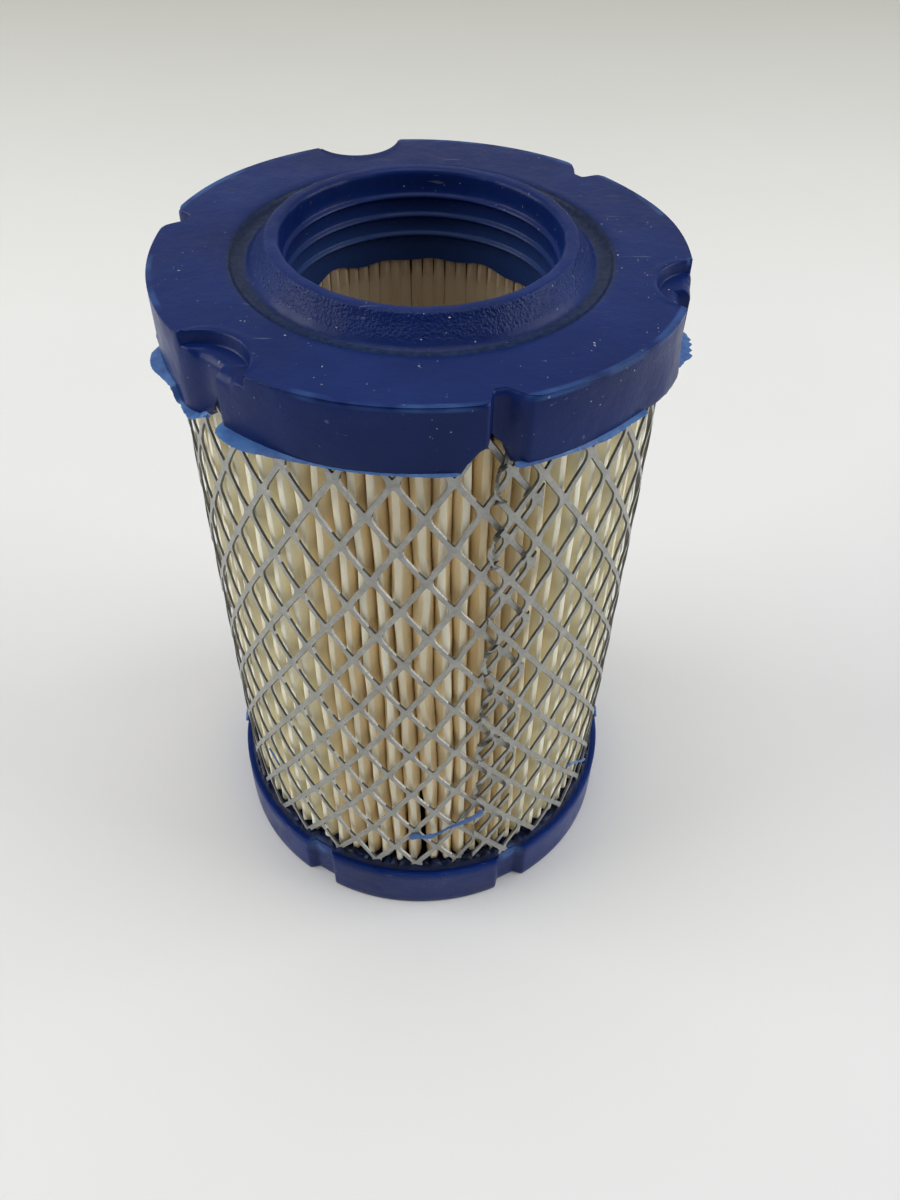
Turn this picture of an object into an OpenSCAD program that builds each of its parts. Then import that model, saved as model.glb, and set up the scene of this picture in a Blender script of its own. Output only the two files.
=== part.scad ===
// Air filter cartridge for a small engine: a pleated paper pack inside an
// expanded metal screen, potted at both ends in moulded polyurethane caps.
// The open cap has a ribbed sealing throat that pushes over the outlet tube.
// The origin is the middle of the closed end's flat underside, +Z is up.

/* [Cartridge] */
// Height from the closed end's underside to the sealing collar's rim
total_h = 131.9; // [110:0.1:160]

/* [Open end cap] */
// Outer radius of the open end cap
top_cap_r = 41; // [40.6:0.1:43]
// Height of the open end cap's side
top_cap_h = 10.4; // [9:0.1:14]
// Radius of the rounded edge around the top face
cap_edge_r = 0.5; // [0.3:0.1:1]

/* [Sealing collar] */
// Height of the collar's rim above the top face
collar_h = 3; // [2:0.5:4]
// Inner radius of the collar's rim
rim_inner_r = 21.3; // [21.2:0.1:21.8]
// Outer radius of the collar's rim
rim_outer_r = 23.7; // [23.2:0.1:24.5]
// Radius of the collar where it meets the moat
collar_foot_r = 26.5; // [26:0.1:27.5]
// Outer radius of the moat around the collar
moat_r = 29.2; // [28.6:0.1:31]
// Depth of the moat below the top face
moat_depth = 1; // [0.5:0.1:1.5]

/* [Sealing throat] */
// Radius of the throat's wall between the ribs
throat_r = 21.2; // [21.1:0.1:21.2]
// Radius of the sealing ribs' crests
rib_r = 20.5; // [20:0.1:20.8]
// Width of each rib's flat crest
rib_land = 0.8; // [0.4:0.1:1]
// Number of sealing ribs
rib_count = 3; // [2:1:3]
// Distance from one rib to the next
rib_pitch = 3.3; // [2.8:0.1:3.6]
// Depth of the first rib's middle below the collar's rim
first_rib_depth = 4.3; // [4:0.1:5]

/* [Closed end cap] */
// Outer radius of the closed end cap
bottom_cap_r = 41; // [40.4:0.1:42]
// Height of the closed end cap
bottom_cap_h = 11.4; // [9:0.1:14]

/* [Mould notches] */
// Number of deep notches, which is also the number of shallow ones
notch_sets = 3; // [2:1:4]
// Bearing of the first deep notch, from the front towards +X
deep_notch_az = -44; // [-48:1:-36]
// Bearing of the first shallow notch
shallow_notch_az = 16; // [10:1:25]
// Bearing of the closed end cap's right front notch
bottom_notch_az = 27; // [20:1:35]
// Angle between the closed end cap's two front notches, and between its two back ones
bottom_notch_gap = 60; // [50:1:70]
// Smallest radius that a deep notch's pocket reaches
pocket_inner_r = 35.7; // [35.5:0.1:37]
// Radius of a pocket's rounded outline
pocket_round = 7.7; // [6:0.1:8]
// Depth of a pocket below the top face
pocket_depth = 1.8; // [1.2:0.1:1.9]
// Radius of a shallow groove's rounded outline
groove_round = 4.4; // [3.6:0.1:5]
// Radius of the arched window at a groove's lower end
window_round = 3; // [2:0.1:3.4]

/* [Pleated paper] */
// Number of pleats
pleat_count = 72; // [60:1:76]
// Radius of the outer folds
pleat_outer_r = 38.2; // [36:0.1:38.4]
// Radius of the inner folds
pleat_inner_r = 21.6; // [21.5:0.1:24]
// Thickness of the paper
paper_t = 0.45; // [0.3:0.05:0.5]
// Half width of a fold, to the middle of the paper
fold_half_w = 0.45; // [0.35:0.05:0.5]

/* [Outer screen] */
// Outer radius of the screen
screen_r = 39.3; // [39.1:0.1:39.5]
// Thickness of the screen's sheet
screen_t = 0.5; // [0.3:0.1:0.6]
// Number of diamonds around the screen
diamond_count = 30; // [24:1:36]
// Height of one diamond, from node to node
diamond_h = 12.7; // [10:0.1:16]
// Width of a strand
strand_w = 1.2; // [0.8:0.1:1.6]
// Width of the knuckle where strands meet
knuckle_w = 2; // [1.6:0.1:2.4]

/* [Potting] */
// Distance from a cap's outer face to the ends of the paper and screen
potting_skin = 2; // [2:0.1:4]

/* [Hidden] */
$fn = 96;
pu_blue = [0.06, 0.14, 0.45];
paper_cream = [0.86, 0.80, 0.62];
zinc_grey = [0.62, 0.63, 0.61];
glue_amber = [0.72, 0.58, 0.34];

top_face_z = total_h - collar_h;
top_cap_z = top_face_z - top_cap_h;
pack_low_z = potting_skin;
pack_high_z = top_face_z - potting_skin;
pack_h = pack_high_z - pack_low_z;
pleat_step = 360 / pleat_count;
diamond_step = 360 / diamond_count;
notch_step = 360 / notch_sets;
groove_r = screen_r + 0.1;
window_r = screen_r - screen_t / 2;
rim_round = 0.7;
rib_base = rib_land + 2 * (throat_r - rib_r);
seam_az = 180;
seam_depth = 8;
screen_node_z = 108.5;
screen_node_az = 0;

// A point on a circle, at a bearing measured from -Y towards +X
function bearing(r, az) = [r * sin(az), -r * cos(az)];

// The bearing that a half width covers at a radius
function spread(half_w, r) = asin(half_w / r);

// The outer face of the folded paper: over each outer fold, then down inside the next inner fold
function outer_outline(r_out, r_in, half_out, half_in) = [
    for (i = [0:pleat_count - 1], k = [0:3])
        let (fold_az = i * pleat_step + (k < 2 ? 0 : pleat_step / 2))
        let (side = k % 2 == 0 ? -1 : 1)
        let (r = k < 2 ? r_out : r_in)
        let (half = k < 2 ? half_out : half_in)
        bearing(r, fold_az + side * spread(half, r))
];

// Turns children to a bearing and moves them out to a radius
module at_bearing(az, r = 0) {
    rotate([0, 0, az])
        translate([0, -r, 0])
            children();
}

// The folded paper's cross-section
module paper_section() {
    difference() {
        polygon(outer_outline(pleat_outer_r, pleat_inner_r + paper_t,
            fold_half_w + paper_t / 2, fold_half_w - paper_t / 2));
        polygon(outer_outline(pleat_outer_r - paper_t, pleat_inner_r,
            fold_half_w - paper_t / 2, fold_half_w + paper_t / 2));
    }
}

// The folded paper, as long as the pack
module paper_pack() {
    translate([0, 0, pack_low_z])
        linear_extrude(pack_h)
            paper_section();
}

// A plain tube standing on a height
module tube(r_out, r_in, z, h) {
    translate([0, 0, z])
        difference() {
            cylinder(r = r_out, h = h);
            translate([0, 0, -1])
                cylinder(r = r_in, h = h + 2);
        }
}

// The room that the paper and the screen take in a cap's potting
module potted_ends() {
    paper_pack();
    tube(screen_r, screen_r - screen_t, pack_low_z, pack_h);
}

// The outline of one sealing rib, from its top edge down to its lower edge
function rib_outline(z) = [
    [throat_r, z + rib_base / 2],
    [rib_r, z + rib_land / 2],
    [rib_r, z - rib_land / 2],
    [throat_r, z - rib_base / 2]
];

// Half section of the open end cap, with its collar, moat and ribbed throat
module top_cap_section() {
    edge_z = top_face_z - cap_edge_r;
    moat_z = top_face_z - moat_depth;
    ribs = [
        for (i = [0:rib_count - 1])
            each rib_outline(total_h - first_rib_depth - i * rib_pitch)
    ];
    polygon(concat(
        [
            [throat_r, top_cap_z],
            [top_cap_r, top_cap_z],
            [top_cap_r, edge_z],
            [top_cap_r - cap_edge_r, top_face_z],
            [moat_r, top_face_z],
            [moat_r - moat_depth / 2, moat_z],
            [collar_foot_r, moat_z],
            [rim_outer_r, total_h - rim_round],
            [rim_outer_r - rim_round, total_h],
            [rim_inner_r + rim_round, total_h],
            [rim_inner_r, total_h - rim_round],
            [throat_r, total_h - 3 * rim_round]
        ],
        ribs
    ));
    translate([top_cap_r - cap_edge_r, edge_z])
        circle(r = cap_edge_r);
}

// A rounded groove down a cap's side, which reaches in to a radius
module side_groove(az, inner_r, round, z, h) {
    at_bearing(az, inner_r + round)
        translate([0, 0, z])
            cylinder(r = round, h = h);
}

// An arched window at a groove's lower end, which shows the screen behind
module arched_window(az) {
    at_bearing(az, window_r)
        translate([0, 0, top_cap_z])
            rotate([90, 0, 0])
                cylinder(r = window_round, h = top_cap_r - window_r + 1);
}

// Moulded open end cap with its collar, ribs, moat and six notches
module top_end_cap() {
    color(pu_blue)
        difference() {
            rotate_extrude()
                top_cap_section();
            potted_ends();
            for (i = [0:notch_sets - 1]) {
                deep_az = deep_notch_az + i * notch_step;
                shallow_az = shallow_notch_az + i * notch_step;
                side_groove(deep_az, pocket_inner_r, pocket_round,
                    top_face_z - pocket_depth, pocket_depth + 1);
                for (az = [deep_az, shallow_az]) {
                    side_groove(az, groove_r, groove_round, top_cap_z - 1, top_cap_h + 2);
                    arched_window(az);
                }
            }
        }
}

// Half section of the closed end cap
module bottom_cap_section() {
    translate([0, cap_edge_r])
        square([bottom_cap_r, bottom_cap_h - cap_edge_r]);
    square([bottom_cap_r - cap_edge_r, bottom_cap_h]);
    translate([bottom_cap_r - cap_edge_r, cap_edge_r])
        circle(r = cap_edge_r);
}

// Moulded closed end cap with two pairs of notches
module bottom_end_cap() {
    color(pu_blue)
        difference() {
            rotate_extrude()
                bottom_cap_section();
            potted_ends();
            for (side = [0, 180])
                for (az = [bottom_notch_az, bottom_notch_az - bottom_notch_gap])
                    side_groove(az + side, groove_r, groove_round, -1, bottom_cap_h + 2);
        }
}

// One diamond opening of the expanded metal, cut through the sheet
module diamond_opening() {
    pitch_w = 2 * PI * screen_r / diamond_count;
    slant = norm([2 / pitch_w, 2 / diamond_h]);
    shrink = 1 - strand_w / 2 * slant;
    half_w = pitch_w / 2 - knuckle_w / 2;
    half_h = diamond_h / 2 * shrink;
    corner_h = half_h * (1 - half_w / (pitch_w / 2 * shrink));
    rotate([90, 0, 0])
        translate([0, 0, -2])
            linear_extrude(4)
                polygon([
                    [0, half_h], [half_w, corner_h], [half_w, -corner_h],
                    [0, -half_h], [-half_w, -corner_h], [-half_w, corner_h]
                ]);
}

// Expanded metal sleeve around the paper
module outer_screen() {
    rows_up = ceil((pack_high_z - screen_node_z) / (diamond_h / 2));
    rows_down = ceil((screen_node_z - pack_low_z) / (diamond_h / 2));
    color(zinc_grey)
        difference() {
            tube(screen_r, screen_r - screen_t, pack_low_z, pack_h);
            for (row = [-rows_up:rows_down], i = [0:diamond_count - 1]) {
                half_turn = row % 2 == 0 ? diamond_step / 2 : 0;
                at_bearing(screen_node_az + half_turn + i * diamond_step, screen_r)
                    translate([0, 0, screen_node_z - row * diamond_h / 2])
                        diamond_opening();
            }
        }
}

// Pleated paper pack
module pleated_paper() {
    color(paper_cream)
        paper_pack();
}

// Bead of adhesive that joins the paper's two ends in the bottom of one pleat
module paper_seam() {
    r_low = pleat_inner_r + paper_t;
    r_high = r_low + seam_depth;
    low_half = fold_half_w - paper_t / 2;
    high_half = low_half + 0.1;
    color(glue_amber)
        translate([0, 0, bottom_cap_h])
            linear_extrude(top_cap_z - bottom_cap_h)
                polygon([
                    bearing(r_low, seam_az - spread(low_half, r_low)),
                    bearing(r_low, seam_az + spread(low_half, r_low)),
                    bearing(r_high, seam_az + spread(high_half, r_high)),
                    bearing(r_high, seam_az - spread(high_half, r_high))
                ]);
}

top_end_cap();
bottom_end_cap();
outer_screen();
pleated_paper();
paper_seam();
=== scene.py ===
"""Looks of a small-engine air filter cartridge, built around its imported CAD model.

Lengths are in millimetres until a mesh is made, and bearings are in degrees from -Y
(the front) towards +X. Every piece is one closed mesh and rides on the only body.
"""

import math

import bmesh
import bpy
import numpy as np
from mathutils import Matrix, Vector


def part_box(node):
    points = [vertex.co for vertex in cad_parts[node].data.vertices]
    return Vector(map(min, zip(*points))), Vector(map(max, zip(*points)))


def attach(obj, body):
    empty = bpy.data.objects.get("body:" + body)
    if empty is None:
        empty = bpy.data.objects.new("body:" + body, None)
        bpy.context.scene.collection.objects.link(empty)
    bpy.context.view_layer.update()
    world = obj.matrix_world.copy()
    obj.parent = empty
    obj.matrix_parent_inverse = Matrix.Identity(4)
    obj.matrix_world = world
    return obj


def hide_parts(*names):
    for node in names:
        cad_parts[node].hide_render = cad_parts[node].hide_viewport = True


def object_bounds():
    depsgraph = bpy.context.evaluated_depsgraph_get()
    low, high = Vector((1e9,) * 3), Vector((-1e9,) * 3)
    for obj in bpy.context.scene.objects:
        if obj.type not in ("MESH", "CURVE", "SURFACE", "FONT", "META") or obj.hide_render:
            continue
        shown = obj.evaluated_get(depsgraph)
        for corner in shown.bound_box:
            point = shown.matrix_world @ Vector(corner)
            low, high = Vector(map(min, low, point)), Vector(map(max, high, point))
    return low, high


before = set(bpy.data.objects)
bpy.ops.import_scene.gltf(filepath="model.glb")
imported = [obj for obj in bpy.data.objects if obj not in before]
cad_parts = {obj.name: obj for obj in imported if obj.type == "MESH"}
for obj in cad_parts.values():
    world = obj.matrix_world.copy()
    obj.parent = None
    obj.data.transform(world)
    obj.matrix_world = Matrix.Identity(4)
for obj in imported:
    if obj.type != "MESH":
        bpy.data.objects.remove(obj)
CAD_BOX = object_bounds()
MM = 0.001
SEED = 7


def corner(node, side):
    """A CAD node's lowest (0) or highest (1) corner, in millimetres."""
    return np.array(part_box(node)[side]) / MM


# Sizes that follow the CAD model
RIM_Z = corner("top_end_cap", 1)[2]
CAP_R = corner("top_end_cap", 1)[0]
CAP_LOW_Z = corner("top_end_cap", 0)[2]
BASE_R = corner("bottom_end_cap", 1)[0]
BASE_H = corner("bottom_end_cap", 1)[2]
SCREEN_R = corner("outer_screen", 1)[0]
FOLD_R = corner("pleated_paper", 1)[0]
COLLAR_H = 3.0
TOP_Z = RIM_Z - COLLAR_H

# Sizes of the looks
THROAT_R = 21.2
RIB_R = 20.6
RIB_DROPS = (4.3, 7.6, 10.9)
PAPER_T = 0.4
SHEET_T = 0.36
PLEATS = 72


def smooth(x):
    """Smoothstep of x, held between 0 and 1."""
    t = np.clip(x, 0.0, 1.0)
    return t * t * (3 - 2 * t)


def plateau(az, start, stop, rise, fall):
    """1 between two bearings, with smooth shoulders of the given widths outside them."""
    d = turn(az - (start + stop) / 2)
    half = (stop - start) / 2
    return smooth((d + half + rise) / rise) * smooth((half + fall - d) / fall)


def turn(az):
    """A bearing brought between -180 and 180."""
    return (np.asarray(az, float) + 180) % 360 - 180


def polar(r, az, z):
    """Points at radii, bearings and heights."""
    a = np.radians(az)
    r, a, z = np.broadcast_arrays(r, a, z)
    return np.stack([r * np.sin(a), -r * np.cos(a), z], -1)


def ripple(seed, lowest, highest, count=9):
    """A smooth random function of a bearing, about -1 to 1, that closes round the circle."""
    rng = np.random.default_rng(SEED + seed)
    waves = rng.integers(lowest, highest + 1, count)
    phases = rng.uniform(0, 2 * math.pi, count)
    sizes = rng.uniform(0.4, 1.0, count)
    sizes /= np.sqrt((sizes**2).sum() * 2) * 0.9

    def value(az):
        a = np.radians(np.asarray(az, float))[..., None]
        return (np.sin(a * waves + phases) * sizes).sum(-1)

    return value


def outward(points, faces):
    """The faces, turned so that the closed mesh's normals point out of it."""
    volume = 0.0
    for size in {len(f) for f in faces}:
        f = np.array([g for g in faces if len(g) == size])
        for k in range(1, size - 1):
            a, b, c = points[f[:, 0]], points[f[:, k]], points[f[:, k + 1]]
            volume += float(np.einsum("ij,ij->i", a, np.cross(b, c)).sum())
    return faces if volume > 0 else [list(f)[::-1] for f in faces]


def add_object(name, data):
    """A new object in the scene with the given data."""
    thing = bpy.data.objects.new(name, data)
    bpy.context.scene.collection.objects.link(thing)
    return thing


def mesh_object(name, points, faces, materials, marks=None, sharp=40):
    """A closed mesh from points in millimetres that rides on the body."""
    points = np.asarray(points, float)
    mesh = bpy.data.meshes.new(name)
    mesh.from_pydata((points * MM).tolist(), [], outward(points, faces))
    for m in materials:
        mesh.materials.append(m)
    if marks is not None:
        mesh.polygons.foreach_set("material_index", np.asarray(marks, np.int32))
    mesh.polygons.foreach_set("use_smooth", [True] * len(mesh.polygons))
    mesh.set_sharp_from_angle(angle=math.radians(sharp))
    mesh.update()
    piece = add_object(name, mesh)
    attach(piece, "root")
    return piece


def grid_faces(columns, rows, wrap_columns, wrap_rows):
    """Quads of a grid whose points run row by row inside each column."""
    a = np.arange(columns if wrap_columns else columns - 1)
    b = np.arange(rows if wrap_rows else rows - 1)
    a, b = np.meshgrid(a, b, indexing="ij")
    a2, b2 = (a + 1) % columns, (b + 1) % rows
    quads = np.stack([a * rows + b, a2 * rows + b, a2 * rows + b2, a * rows + b2], -1)
    return quads.reshape(-1, 4).tolist()


def ring_piece(name, columns, material):
    """A closed ring from columns of closed sections, as an array (bearing, point, 3)."""
    count, rows = columns.shape[:2]
    faces = grid_faces(count, rows, True, True)
    return mesh_object(name, columns.reshape(-1, 3), faces, [material])


def disc_piece(name, columns, material):
    """A closed disc from columns of sections that run from above its middle to below it."""
    count, rows = columns.shape[:2]
    faces = grid_faces(count, rows, True, False)
    first, last = count * rows, count * rows + 1
    middles = [columns[:, 0].mean(0), columns[:, -1].mean(0)]
    for a in range(count):
        b = (a + 1) % count
        faces.append([first, b * rows, a * rows])
        faces.append([last, a * rows + rows - 1, b * rows + rows - 1])
    points = np.concatenate([columns.reshape(-1, 3), middles])
    return mesh_object(name, points, faces, [material])


def slab(name, top, bottom, material, wrap=False):
    """A closed thin piece between two grids of the same shape (column, row, 3)."""
    columns, rows = top.shape[:2]
    points = np.concatenate([top, bottom[:, ::-1]], 1)
    faces = grid_faces(columns, 2 * rows, wrap, True)
    if not wrap:
        for first, turned in ((0, 1), (2 * rows * (columns - 1), -1)):
            for r in range(rows - 1):
                quad = [r, r + 1, 2 * rows - 2 - r, 2 * rows - 1 - r]
                faces.append([first + i for i in quad][::turned])
    return mesh_object(name, points.reshape(-1, 3), faces, [material])


# ---- materials


def new_material(name):
    """A material with its node tree and Principled shader."""
    m = bpy.data.materials.new(name)
    m.use_nodes = True
    return m, m.node_tree, m.node_tree.nodes["Principled BSDF"]


def node(tree, kind, **values):
    """A shader node with its inputs set by name and its properties by attribute."""
    n = tree.nodes.new(kind)
    for key, value in values.items():
        if hasattr(n, key):
            setattr(n, key, value)
        else:
            n.inputs[key.replace("_", " ")].default_value = value
    return n


def object_coords(tree):
    """The socket of coordinates that stay with the piece."""
    found = tree.nodes.get("coords") or node(tree, "ShaderNodeTexCoord", name="coords")
    return found.outputs["Object"]


def noise(tree, scale, detail=4.0, roughness=0.55, stretch=None):
    """A noise texture's factor at so many cells a metre."""
    where = object_coords(tree)
    if stretch:
        mapping = node(tree, "ShaderNodeMapping", Scale=stretch)
        tree.links.new(where, mapping.inputs["Vector"])
        where = mapping.outputs["Vector"]
    n = node(tree, "ShaderNodeTexNoise", Scale=scale, Detail=detail, Roughness=roughness)
    tree.links.new(where, n.inputs["Vector"])
    return n.outputs["Fac"]


def ramp(tree, factor, stops):
    """A colour ramp through (place, colour) stops; a colour may be one grey number."""
    n = tree.nodes.new("ShaderNodeValToRGB")
    items = n.color_ramp.elements
    while len(items) < len(stops):
        items.new(0.5)
    for item, (place, colour) in zip(items, stops):
        item.position = place
        c = (colour,) * 3 if isinstance(colour, (int, float)) else colour
        item.color = (*c, 1.0)
    tree.links.new(factor, n.inputs["Fac"])
    return n.outputs["Color"]


def mix(tree, factor, a, b, blend="MIX"):
    """A colour mix of sockets or colours, by a socket or a number."""
    n = tree.nodes.new("ShaderNodeMix")
    n.data_type = "RGBA"
    n.blend_type = blend
    for key, value in ((0, factor), (6, a), (7, b)):
        if isinstance(value, bpy.types.NodeSocket):
            tree.links.new(value, n.inputs[key])
        elif key == 0:
            n.inputs[key].default_value = value
        else:
            n.inputs[key].default_value = (*value, 1.0)
    return n.outputs[2]


def times(tree, a, b):
    """The product of two sockets or numbers."""
    n = node(tree, "ShaderNodeMath", operation="MULTIPLY")
    for key, value in ((0, a), (1, b)):
        if isinstance(value, bpy.types.NodeSocket):
            tree.links.new(value, n.inputs[key])
        else:
            n.inputs[key].default_value = value
    return n.outputs[0]


def bump(tree, shader, height, distance, strength=1.0, below=None):
    """Puts a bump of so many metres on the shader, over an earlier one if given."""
    n = node(tree, "ShaderNodeBump", Strength=strength, Distance=distance)
    tree.links.new(height, n.inputs["Height"])
    if below is not None:
        tree.links.new(below, n.inputs["Normal"])
    tree.links.new(n.outputs["Normal"], shader.inputs["Normal"])
    return n.outputs["Normal"]


def measures(tree):
    """Sockets in metres: "y" and "z" of a point, and "r", its distance from the axis."""
    parts = tree.nodes.new("ShaderNodeSeparateXYZ")
    tree.links.new(object_coords(tree), parts.inputs[0])
    flat = tree.nodes.new("ShaderNodeCombineXYZ")
    tree.links.new(parts.outputs["X"], flat.inputs["X"])
    tree.links.new(parts.outputs["Y"], flat.inputs["Y"])
    length = node(tree, "ShaderNodeVectorMath", operation="LENGTH")
    tree.links.new(flat.outputs[0], length.inputs[0])
    return {"y": parts.outputs["Y"], "z": parts.outputs["Z"], "r": length.outputs["Value"]}


def span(tree, value, low, high):
    """A value's place between two limits, from 0 to 1."""
    n = node(tree, "ShaderNodeMapRange", From_Min=low, From_Max=high)
    tree.links.new(value, n.inputs["Value"])
    return n.outputs["Result"]


def zone(tree, sockets, limits):
    """1 inside a zone and 0 outside; limits are (measure, where it starts, where it is full)."""
    share = None
    for key, start, full in limits:
        part = span(tree, sockets[key], start * MM, full * MM)
        share = part if share is None else times(tree, share, part)
    return share


def paint(tree, shader, colour, roughness, specular=0.5):
    """Links the colour and sets the shine; four numbers for roughness make it follow a noise."""
    tree.links.new(colour, shader.inputs["Base Color"])
    shader.inputs["Specular IOR Level"].default_value = specular
    if isinstance(roughness, (int, float)):
        shader.inputs["Roughness"].default_value = roughness
    else:
        scale, detail, low, high = roughness
        sheen = ramp(tree, noise(tree, scale, detail), [(0.3, low), (0.7, high)])
        tree.links.new(sheen, shader.inputs["Roughness"])


PU_DARK = (0.0020, 0.0112, 0.076)
PU_BLUE = (0.0026, 0.0152, 0.104)
PU_PALE = (0.0066, 0.0250, 0.138)
# Painted light: a lighter blue for deep in the throat
PU_THROAT_LIGHT = (0.0135, 0.0400, 0.152)
# Painted shade: near-black blue for the potting behind the screen
PU_POTTING_SHADE = (0.0022, 0.0060, 0.024)
# Pale blue for the rubbed spots on the base and for the painted highlight along the top edge
PU_RUBBED_AND_HIGHLIGHT = (0.045, 0.120, 0.330)
PU_DUST = (0.45, 0.47, 0.5)
CRUST_DARK = (0.006, 0.014, 0.034)
CRUST_PALE = (0.020, 0.036, 0.080)
FLASH_DEEP = (0.022, 0.075, 0.27)
FLASH_BLUE = (0.040, 0.135, 0.38)
FLASH_PALE = (0.07, 0.20, 0.46)

# Where the blue looks different, in millimetres from the axis (r) or from the floor (z)
MOAT_ZONE = (("r", 26.2, 27.0), ("r", 29.6, 29.0), ("z", 115.0, 120.0))
# Painted light: the blue deep in the throat is made lighter
THROAT_LIGHT_ZONE = (("r", 21.9, 21.3), ("z", 127.5, 121.0))
# Painted shade: the potting low behind the screen, between the pleats
POTTING_SHADE_ZONE = (("r", 40.0, 39.6), ("z", 20.0, 18.0), ("z", 11.1, 11.6))
# Painted highlight: a pale line along the open cap's top outer edge
EDGE_HIGHLIGHT_ZONE = (("r", 39.9, 40.3), ("z", 128.0, 128.4))
CONE_ZONE = (("r", 26.2, 25.4), ("z", 128.3, 129.2), ("r", 22.6, 23.6))
SPOT_ZONE = (("away", 3.4, 1.2),)
SPOT_AZ = (-33.6, 28.0)


def blue_colour(tree, sockets, lift):
    """The blue's colour: clouds, dust and scratches, crust in the moat, rubbed spots on the base, and
    painted light and shade: lighter deep in the throat, darker in the potting, a highlight along the
    top edge.
    """
    def patchy(limits, scale, stops):
        return times(tree, zone(tree, sockets, limits), ramp(tree, noise(tree, scale, 3), stops))

    # A lift above 1 is painted light: every tone made lighter
    tones = [tuple(c * lift for c in tone) for tone in (PU_DARK, PU_BLUE, PU_PALE)]
    colour = ramp(tree, noise(tree, 45, 3), list(zip((0.3, 0.55, 0.8), tones)))
    patches = noise(tree, 120, 2)
    specks = ramp(tree, noise(tree, 1500, 2, 0.5), [(0.728, 0), (0.755, 1)])
    dusty = times(tree, specks, ramp(tree, patches, [(0.45, 0), (0.6, 1)]))
    colour = mix(tree, dusty, colour, PU_DUST)
    scratches = noise(tree, 900, 2, 0.5, stretch=(0.12, 1.6, 1.0))
    lines = ramp(tree, scratches, [(0.0, 0), (0.72, 0), (0.76, 1)])
    colour = mix(tree, times(tree, lines, 0.16), colour, PU_DUST)
    crust = ramp(tree, noise(tree, 1300, 3), [(0.35, CRUST_DARK), (0.7, CRUST_PALE)])
    colour = mix(tree, times(tree, zone(tree, sockets, MOAT_ZONE), 0.75), colour, crust)
    # Painted light deep in the throat
    colour = mix(tree, zone(tree, sockets, THROAT_LIGHT_ZONE), colour, PU_THROAT_LIGHT)
    # Painted shade in the potting behind the screen, patchy
    colour = mix(tree, patchy(POTTING_SHADE_ZONE, 520, [(0.30, 0.55), (0.55, 1.0)]), colour, PU_POTTING_SHADE)
    # Painted highlight along the top edge, patchy
    edge_highlight = times(tree, zone(tree, sockets, EDGE_HIGHLIGHT_ZONE), ramp(tree, patches, [(0.42, 0.0), (0.62, 0.55)]))
    colour = mix(tree, edge_highlight, colour, PU_RUBBED_AND_HIGHLIGHT)
    for bearing in SPOT_AZ:
        away = node(tree, "ShaderNodeVectorMath", operation="DISTANCE")
        tree.links.new(object_coords(tree), away.inputs[0])
        away.inputs[1].default_value = polar(BASE_R - 0.9, bearing, BASE_H - 1.6) * MM
        sockets["away"] = away.outputs["Value"]
        rubbed = patchy(SPOT_ZONE, 420, [(0.38, 0.25), (0.60, 1.0)])
        colour = mix(tree, rubbed, colour, PU_RUBBED_AND_HIGHLIGHT)
    return colour


def moulded_blue(name, lift=1.0):
    """Semi-gloss moulded polyurethane: blue with a grained skin, coarsest on the collar; a lift above 1
    is painted light that makes the whole blue lighter.
    """
    m, tree, shader = new_material(name)
    sockets = measures(tree)
    paint(tree, shader, blue_colour(tree, sockets, lift), (260, 4, 0.27, 0.42), 0.16)
    fine = bump(tree, shader, noise(tree, 2600, 3, 0.6), 0.00005, 0.35)
    skin = bump(tree, shader, noise(tree, 700, 3, 0.6), 0.00022, 0.3, fine)
    grain = bump(tree, shader, noise(tree, 2300, 2, 0.5), 0.00022, below=skin)
    tree.links.new(zone(tree, sockets, CONE_ZONE), grain.node.inputs["Strength"])
    bump(tree, shader, noise(tree, 90, 2), 0.0009, 0.35, grain)
    return m


def flash_blue():
    """Thin flash that squeezed out of the mould, with paler clouds."""
    m, tree, shader = new_material("flash")
    cloud = noise(tree, 420, 4)
    colour = ramp(tree, cloud, [(0.3, FLASH_DEEP), (0.5, FLASH_BLUE), (0.72, FLASH_PALE)])
    paint(tree, shader, colour, 0.42)
    bump(tree, shader, noise(tree, 1800, 3), 0.00012, 0.6)
    return m


# Painted shade: the paper's colour from its inner folds (0) to its outer ones (1), darker and browner
# the deeper it lies
PAPER_DEPTH_SHADE = [(0.0, (0.68, 0.55, 0.37)), (0.40, (0.88, 0.68, 0.37)), (0.70, (0.94, 0.765, 0.44)),
                (0.86, (0.96, 0.885, 0.62)), (0.96, (0.98, 0.955, 0.78))]
PAPER_SHADE_ZONE = (("r", 27.0, 38.6),)
# Painted shade: the deep valleys at the front are painted browner
PAPER_VALLEY_SHADE = (0.93, 0.70, 0.38)
FRONT_SHADE_ZONE = (("y", -31.5, -35.5), ("r", 38.3, 37.4))


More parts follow.
